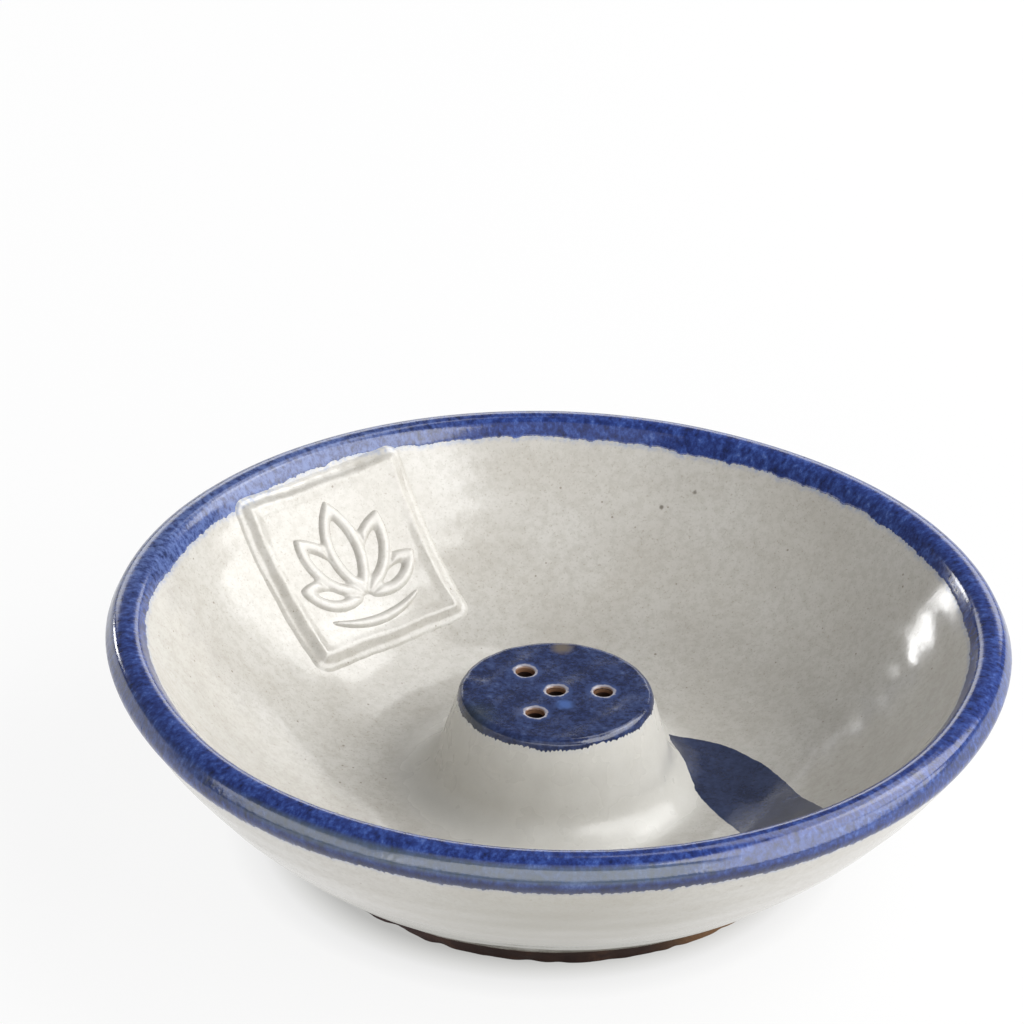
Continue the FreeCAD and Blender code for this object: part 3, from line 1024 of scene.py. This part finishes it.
def make_lotus():
    """The raised lotus and its line of water, rooted in the pad."""
    solid = Solid()
    x, y = pad_grid(14.4, 0.16)
    relief = softened(np.maximum(lotus_shape(x, y), -0.5), 7)
    ground = softened(pad_shape(x, y), 2)
    top, angle, along = on_pad(x, y, ground + relief)
    bottom, _, _ = on_pad(x, y, ground - 0.6)
    facts = pad_facts(angle, along, np.maximum(relief, 0))
    closed_cells(solid, top, bottom, high_cells(relief, -0.12), **facts)
    solid.make("lotus", white, "lotus_relief")


def smooth_line(points, count):
    """Evenly spaced points on a smooth line through a few."""
    points = np.array(points)
    ends = [2 * points[0] - points[1]], [2 * points[-1] - points[-2]]
    p = np.concatenate([ends[0], points, ends[1]])
    place = []
    for k in range(1, len(p) - 2):
        t = np.linspace(0, 1, 40, endpoint=k == len(p) - 3)[:, None]
        a, b, c, d = p[k - 1 : k + 3]
        line = 2 * b + (c - a) * t
        line = line + (2 * a - 5 * b + 4 * c - d) * t ** 2 + (3 * b - 3 * c + d - a) * t ** 3
        place.append(0.5 * line)
    place = np.concatenate(place)
    run = np.concatenate([[0], np.cumsum(np.hypot(*np.diff(place, axis=0).T))])
    even = np.linspace(0, run[-1], count)
    return np.stack([np.interp(even, run, place[:, k]) for k in (0, 1)], axis=-1)


def make_leaf():
    """The brushed leaf: a thin melted coat that sinks into the white at its edges."""
    solid = Solid()
    lines, across = 320, 72
    outer, inner = smooth_line(leaf_outer_edge, lines), smooth_line(leaf_inner_edge, lines)
    share = np.linspace(0, 1, across)
    share = share - 0.11 * np.sin(2 * pi * share)
    wide = np.hypot(*(outer - inner).T)
    grid = inner[:, None] + (outer - inner)[:, None] * share[:, None]
    run = np.linspace(0, 1, lines)[:, None]
    shake = 0.07 * np.sin(run * 37) + 0.03 * np.sin(run * 151 + 1) + 0.015 * np.sin(run * 430 + 2)
    unit = (outer - inner) / np.maximum(wide, 1e-6)[:, None]
    shake = (shake * (2 * share - 1))[..., None]
    grid = grid + unit[:, None] * shake * np.minimum(wide / 4, 1)[:, None, None]
    gap = wide[:, None] * np.minimum(share, 1 - share)
    radius, angle = np.hypot(grid[..., 0], grid[..., 1]), np.arctan2(grid[..., 1], grid[..., 0])
    along = skin.where(radius, RADIUS, marks["cap_roll_end"], marks["lip_start"] + 1)
    rise = np.interp(gap, (0.0, 0.08, 0.25, 0.5), (-0.10, 0.0, 0.025, 0.035))
    past_tip = slice(1, None)
    top = on_skin(angle, along, rise)[past_tip]
    bottom = on_skin(angle, along, -0.3)[past_tip]
    cells = np.ones((lines - 2, across - 1), bool)
    closed_cells(solid, top, bottom, cells, **blue_facts(gap[past_tip], top))
    solid.make("leaf", leaf_blue, "blue_leaf_glaze")


def clay_lump(angle, size, seed):
    return wander(angle, size, range(3, 90, 4), seed)


def make_body():
    """The clay dish under the glaze, with turning marks on its bare underside."""
    solid = Solid()
    count = 512
    angle = round_axis(count)
    boss_radius = (skin.at(np.array([marks["boss_foot"]]))[0][0] + boss_seat_radius) / 2
    rings = [solid.add(np.array([[0.0, 0.0, floor_height - glaze]]))]
    rings.append(solid.add(at_height(boss_radius, angle, floor_height - glaze)))
    bare_start = foot_edge - 4
    lines = list(np.linspace(marks["boss_foot"] + 0.5, marks["lip_start"], 40))
    lines += list(np.linspace(marks["lip_start"], marks["lip_end"], 22)[1:])
    lines += list(np.linspace(marks["lip_end"], bare_start, 30)[1:])
    for along in lines:
        rings.append(solid.add(on_skin(angle, np.full(count, along), -glaze)))
    bare = -glaze - 0.02 + clay_lump(angle, 0.012, 20)
    for along in np.linspace(bare_start, marks["base"] - 0.2, 16)[1:]:
        rings.append(solid.add(on_skin(angle, np.full(count, along), bare)))
    edge = skin.at(np.array([marks["base"]]))[0][0] - 0.5
    for radius in np.linspace(edge, 0.6, 64):
        turned = 0.05 * np.sin(2 * pi * radius / 2.6 + angle)
        turned = turned + 0.03 * np.sin(2 * pi * radius / 1.1 - angle)
        button = 0.35 * np.exp(-((radius / 3.0) ** 2))
        height = base_height + 0.08 + turned + button * 0.3
        rings.append(solid.add(at_height(radius, angle, height)))
    rings.append(solid.add(np.array([[0.0, 0.0, base_height + 0.15]])))
    solid.loops(rings, closed=False)
    solid.make("clay_dish", clay, "dish_body")


def make_foot():
    """The turned foot ring: its edges rubbed round and chipped here and there."""
    solid = Solid()
    count = 1024
    angle = round_axis(count)

    def side(low, high, share):
        """A point of a side, from its rubbed edge at 0 to the dish at 1."""
        return low + (high - low) * share, foot_edge_height + (base_height - foot_edge_height) * share

    def edge(radius, inward, turn):
        """A point of a rubbed edge."""
        return radius + inward * foot_edge_width * (1 - cos(turn)), foot_edge_height * (1 - sin(turn))

    top = base_height + 0.25
    section = [(foot_outer_high, top)]
    section += [side(foot_outer_low, foot_outer_high, 1 - t) for t in np.linspace(0.08, 1, 10)]
    section += [edge(foot_outer_low, -1, turn) for turn in np.linspace(0, pi / 2, 7)[1:]]
    flat = np.linspace(foot_outer_low - foot_flat_inset, foot_inner_low + foot_flat_inset, 6)
    section += [(radius, 0.0) for radius in flat]
    section += [edge(foot_inner_low, 1, turn) for turn in np.linspace(pi / 2, 0, 7)]
    section += [side(foot_inner_low, foot_inner_high, t) for t in np.linspace(0.15, 1, 8)]
    section.append((foot_inner_high, top))
    chips = 0.5 * drips(angle, 42.0, 7.0, 1.2, 1.0, 22) + bumps(angle, foot_chip)
    rings = []
    for radius, height in section:
        outward = 1.0 if radius > 38.0 else -1.0
        at_edge = np.exp(-(((height - 0.4) / 0.7) ** 2)) if height < 3.0 else 0.0
        lump = clay_lump(angle + 0.004 * height, 0.07, 23)
        lump = lump + 0.05 * np.sin(37 * angle + 2.2 * height) * np.sin(23 * angle)
        bite = chips * at_edge * 0.55
        front_lump = bumps(angle, foot_lump) * at_edge if outward > 0 else 0.0
        z = height + (bite * 0.5 if height < 1.0 else np.zeros(count))
        hollow = 0.06 * np.sin(11 * angle + 0.3) * np.sin(29 * angle) - 0.02
        z = np.where(z < 0.02, np.maximum(0.0, hollow), z)
        rings.append(solid.add(at_height(radius + outward * (lump - bite) + front_lump, angle, z)))
    solid.loops(rings)
    solid.make("foot", clay, "foot_ring")


make_rim()
make_white_inside()
make_white_outside()
make_cap()
make_pad()
make_lotus()
make_leaf()
make_body()
make_foot()

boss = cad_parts["stick_boss"]
boss.data.materials.clear()
boss.data.materials.append(clay)


def make_floor():
    mesh = bpy.data.meshes.new("table_top")
    half = 4.0
    corners = [(-half, -half, 0), (half, -half, 0), (half, half, 0), (-half, half, 0)]
    mesh.from_pydata(corners, [], [(0, 1, 2, 3)])
    mesh.materials.append(pale_floor())
    table = bpy.data.objects.new("table_top", mesh)
    bpy.context.scene.collection.objects.link(table)


def towards(azimuth, elevation):
    azimuth, elevation = radians(azimuth), radians(elevation)
    return Vector((cos(azimuth) * cos(elevation), sin(azimuth) * cos(elevation), sin(elevation)))


def softbox(name, azimuth, elevation, distance, width, height, radiance):
    """A rectangular light that faces the dish from that direction. Lengths are in metres."""
    data = bpy.data.lights.new(name, "AREA")
    data.shape = "RECTANGLE"
    data.size, data.size_y = width, height
    data.energy = radiance * pi * width * height
    light = bpy.data.objects.new(name, data)
    bpy.context.scene.collection.objects.link(light)
    direction = towards(azimuth, elevation)
    middle = Vector((0.0, 0.0, 0.02))
    light.location = middle + direction * distance
    light.rotation_euler = direction.to_track_quat("Z", "Y").to_euler()
    light.visible_camera = False


def make_lights():
    softbox("key", -7.0, 42.0, 1.05, 1.65, 0.80, 4.0)
    softbox("key_back", 48.0, 55.0, 1.05, 0.7, 0.45, 2.2)
    softbox("right_strip", -20.0, 12.0, 1.4, 1.9, 0.34, 4.0)
    softbox("back_strip", 134.0, 9.5, 1.0, 0.16, 0.13, 13.0)
    softbox("front_strip", -90.0, 19.0, 1.4, 2.0, 0.34, 3.0)
    softbox("left_strip", -150.0, 12.0, 1.4, 1.5, 0.3, 2.5)
    softbox("front_fill", -80.0, 50.0, 1.2, 1.4, 0.7, 0.55)
    softbox("back_fill", 90.0, 14.0, 1.4, 1.8, 0.4, 2.2)
    world = bpy.data.worlds.new("studio")
    bpy.context.scene.world = world
    world.use_nodes = True
    ground = world.node_tree.nodes["Background"]
    ground.inputs["Color"].default_value = (0.96, 0.98, 1.0, 1.0)
    ground.inputs["Strength"].default_value = 0.17


def make_camera():
    """The photograph's view: from the front, above the rim, with a slight roll."""
    elevation, roll = radians(29.328), radians(1.455)
    distance, right_shift, up_shift = 847.6, 6.76, -52.54
    focal_ratio = 5000.0 / 1024.0
    sensor = 36.0
    forward = Vector((0.0, cos(elevation), -sin(elevation)))
    level = Vector((1.0, 0.0, 0.0))
    above = level.cross(forward)
    right = cos(roll) * level + sin(roll) * above
    up = -sin(roll) * level + cos(roll) * above
    place = (-forward * distance - right * right_shift - up * up_shift) * mm
    data = bpy.data.cameras.new("view")
    data.sensor_width = sensor
    data.lens = focal_ratio * sensor
    data.clip_start, data.clip_end = 0.01, 20.0
    camera = bpy.data.objects.new("view", data)
    bpy.context.scene.collection.objects.link(camera)
    frame_axes = Matrix((right, up, -forward)).transposed().to_4x4()
    camera.matrix_world = Matrix.Translation(place) @ frame_axes
    bpy.context.scene.camera = camera


make_floor()
make_lights()
make_camera()
bpy.context.scene.view_settings.view_transform = "Standard"
